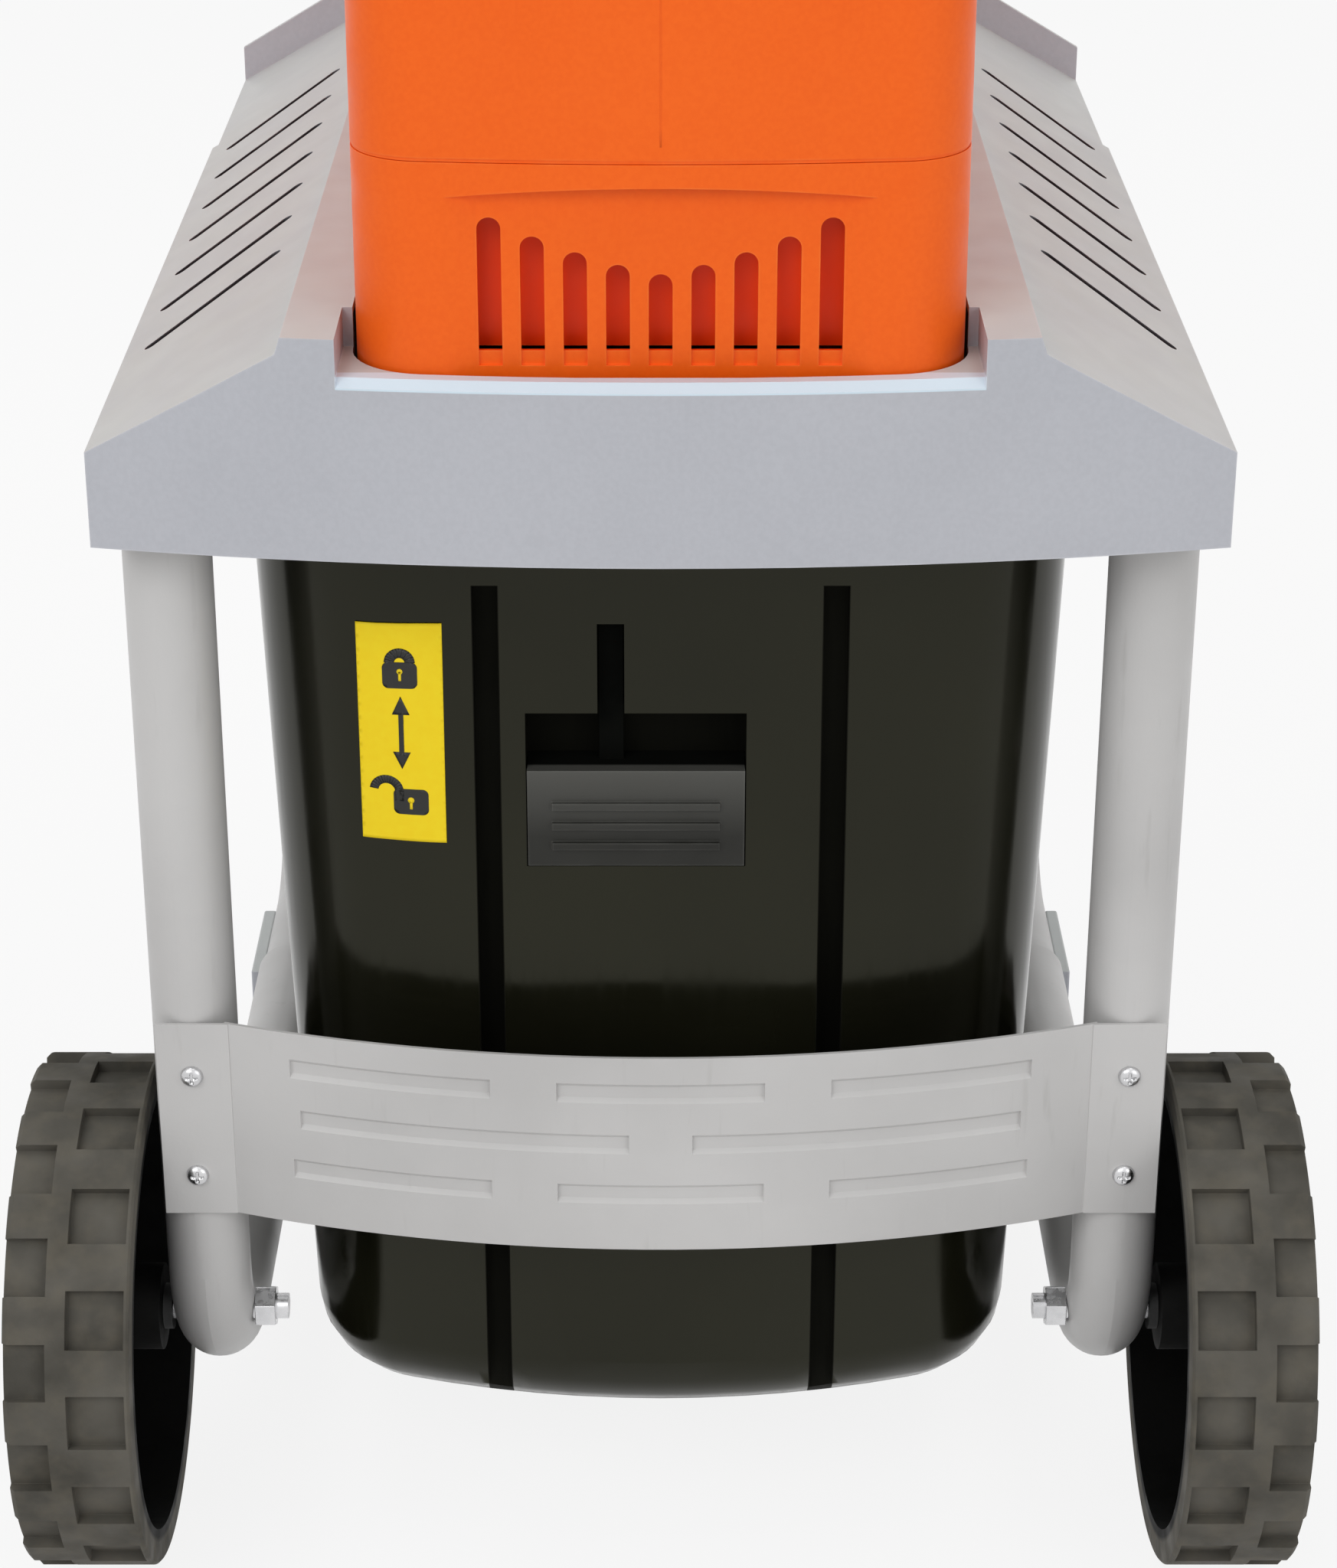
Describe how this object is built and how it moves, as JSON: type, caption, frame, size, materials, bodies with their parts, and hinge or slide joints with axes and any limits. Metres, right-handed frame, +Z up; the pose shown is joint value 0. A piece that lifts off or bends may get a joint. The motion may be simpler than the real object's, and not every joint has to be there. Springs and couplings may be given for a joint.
{
  "type": "garden shredder",
  "caption": "Roller garden shredder: orange hopper and motor cover on a grey roofed deck, wheeled tube frame, black slide-out collection box with a sliding latch.",
  "frame": {"origin": "on the ground, in the middle of the footprint", "axes": "+X to the right seen from the wheel side, +Y away from the wheel side, +Z up"},
  "size_m": [0.486, 0.5728, 0.9],
  "materials": {
    "tube_paint": "satin grey paint",
    "zinc": "bright zinc",
    "wheel_plastic": "moulded dark grey",
    "dark_plastic": "moulded black",
    "deck_plastic": "moulded light grey",
    "box_plastic": "glossy black",
    "grip_plastic": "moulded dark grey",
    "orange_plastic": "satin orange",
    "red_plastic": "red",
    "green_plastic": "green",
    "white_plastic": "white",
    "cast_aluminium": "as cast",
    "steel": "machined",
    "copper": "enamelled winding",
    "gear_nylon": "natural"
  },
  "bodies": {
    "frame": {"left_leg_tube": "tube_paint", "right_leg_tube": "tube_paint", "left_rear_tube": "tube_paint", "right_rear_tube": "tube_paint", "left_foot": "deck_plastic", "right_foot": "deck_plastic", "front_brace": "tube_paint", "brace_screws": "zinc", "left_axle": "zinc", "right_axle": "zinc", "axle_nuts": "zinc", "hub_spacers": "dark_plastic", "deck": "deck_plastic", "chassis": "dark_plastic", "deck_screws": "zinc", "left_rail": "dark_plastic", "right_rail": "dark_plastic", "interlock_switch": "dark_plastic", "motor_cover": "orange_plastic", "hopper": "orange_plastic", "body_screws": "zinc", "motor_can": "cast_aluminium", "motor_stator": "copper", "motor_cradle": "dark_plastic", "gearbox_case": "cast_aluminium", "gearbox_cover": "cast_aluminium", "gear_pins": "zinc", "cutter_housing": "cast_aluminium", "drum_bearings": "steel", "capacitor": "white_plastic", "switch_box": "dark_plastic", "mains_inlet": "dark_plastic"},
    "left_wheel": {"left_wheel": "wheel_plastic", "left_hub_cap": "dark_plastic"},
    "right_wheel": {"right_wheel": "wheel_plastic", "right_hub_cap": "dark_plastic"},
    "box": {"collection_box": "box_plastic"},
    "latch": {"latch": "grip_plastic"},
    "plunger": {"interlock_plunger": "red_plastic"},
    "rotor": {"motor_rotor": "steel"},
    "first_gear": {"first_gear": "gear_nylon"},
    "second_gear": {"second_gear": "gear_nylon"},
    "drum": {"cutter_drum": "steel", "drum_shaft": "steel", "final_gear": "steel"},
    "plate": {"pressure_plate": "cast_aluminium"},
    "adjuster": {"adjusting_screw": "steel", "adjusting_knob": "dark_plastic"},
    "on_button": {"on_button": "green_plastic"},
    "off_button": {"off_button": "red_plastic"},
    "reset_button": {"reset_button": "white_plastic"},
    "direction_knob": {"direction_knob": "dark_plastic"}
  },
  "joints": [
    {"name": "left_wheel_spin", "type": "hinge", "parent": "frame", "child": "left_wheel", "pos_m": [0, -0.18642, 0.1], "axis": [1, 0, 0], "continuous": true},
    {"name": "right_wheel_spin", "type": "hinge", "parent": "frame", "child": "right_wheel", "pos_m": [0, -0.18642, 0.1], "axis": [1, 0, 0], "continuous": true},
    {"name": "box_slide", "type": "slide", "parent": "frame", "child": "box", "axis": [0, 1, 0], "range_m": [0, 0.36]},
    {"name": "latch_slide", "type": "slide", "parent": "box", "child": "latch", "axis": [0, 0, 1], "range_m": [0, 0.018]},
    {"name": "plunger_press", "type": "slide", "parent": "frame", "child": "plunger", "axis": [0, 0, 1], "range_m": [0, 0.0035], "stiffness_N_per_m": 60, "springref_m": -0.005},
    {"name": "motor_spin", "type": "hinge", "parent": "frame", "child": "rotor", "pos_m": [0, -0.145, 0.545], "axis": [1, 0, 0], "continuous": true},
    {"name": "first_gear_spin", "type": "hinge", "parent": "frame", "child": "first_gear", "pos_m": [0, -0.1025, 0.545], "axis": [1, 0, 0], "continuous": true},
    {"name": "second_gear_spin", "type": "hinge", "parent": "frame", "child": "second_gear", "pos_m": [0, -0.0515, 0.545], "axis": [1, 0, 0], "continuous": true},
    {"name": "drum_spin", "type": "hinge", "parent": "frame", "child": "drum", "pos_m": [0, 0.008, 0.545], "axis": [1, 0, 0], "continuous": true},
    {"name": "adjust_turn", "type": "hinge", "parent": "frame", "child": "adjuster", "pos_m": [0, 0.236, 0.545], "axis": [0, -1, 0], "range_deg": [0, 1080]},
    {"name": "plate_slide", "type": "slide", "parent": "frame", "child": "plate", "axis": [0, 1, 0], "range_m": [0, 0.0052]},
    {"name": "on_press", "type": "slide", "parent": "frame", "child": "on_button", "axis": [0, -1, 0], "range_m": [0, 0.004], "stiffness_N_per_m": 150, "springref_m": -0.003},
    {"name": "off_press", "type": "slide", "parent": "frame", "child": "off_button", "axis": [0, -1, 0], "range_m": [0, 0.004], "stiffness_N_per_m": 150, "springref_m": -0.003},
    {"name": "reset_press", "type": "slide", "parent": "frame", "child": "reset_button", "axis": [0, -1, 0], "range_m": [0, 0.004], "stiffness_N_per_m": 80, "springref_m": -0.003},
    {"name": "direction_turn", "type": "hinge", "parent": "frame", "child": "direction_knob", "pos_m": [-0.059, 0.256, 0.62], "axis": [0, 1, 0], "range_deg": [-45, 45]}
  ],
  "couplings": [
    {"joint": "first_gear_spin", "follows": "motor_spin", "ratio": -0.25926},
    {"joint": "second_gear_spin", "follows": "motor_spin", "ratio": 0.067215},
    {"joint": "drum_spin", "follows": "motor_spin", "ratio": -0.017426},
    {"joint": "adjust_turn", "follows": "plate_slide", "rad_per_m": 3590.4}
  ]
}
